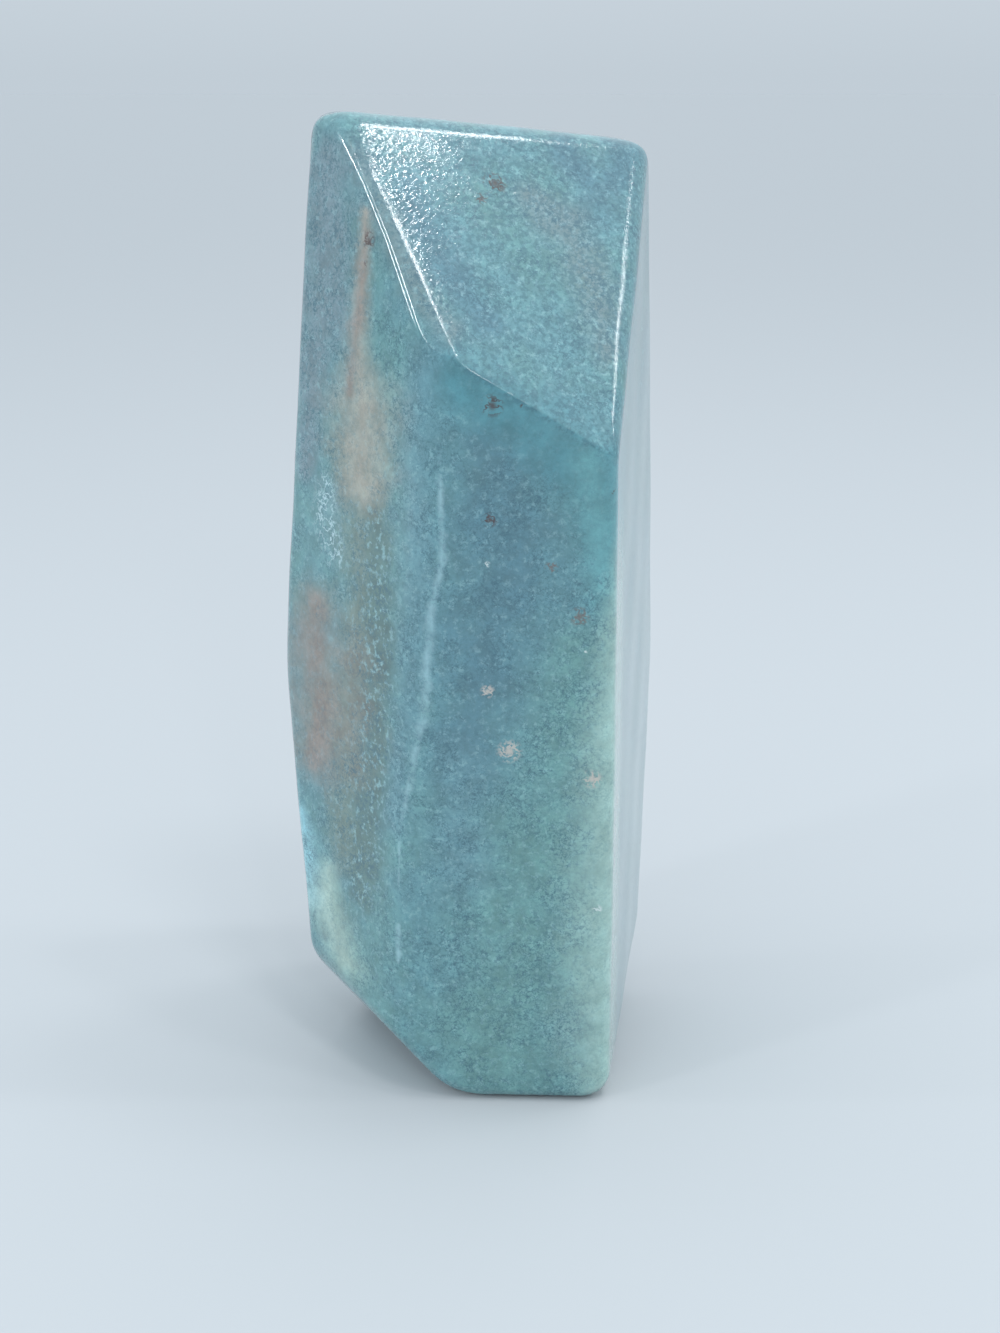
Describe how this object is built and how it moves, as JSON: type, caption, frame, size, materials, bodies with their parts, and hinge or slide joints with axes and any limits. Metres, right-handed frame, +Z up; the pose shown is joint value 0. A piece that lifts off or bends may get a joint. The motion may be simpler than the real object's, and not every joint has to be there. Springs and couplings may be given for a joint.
{
  "type": "polished trolleite free-form",
  "caption": "Tall polished blue-green mineral free-form with flat ground facets, a slanted chisel top, softly rounded edges and a flat foot; a display stone.",
  "frame": {"origin": "middle of the stone's bounding box, on the surface that it stands on", "axes": "+Z up along the stone's height, -Y out of the broad front facet, +X to the viewer's right"},
  "size_m": [0.0324, 0.029, 0.0803],
  "materials": {
    "trolleite": "polished"
  },
  "bodies": {
    "root": {"stone": "trolleite"}
  },
  "joints": []
}
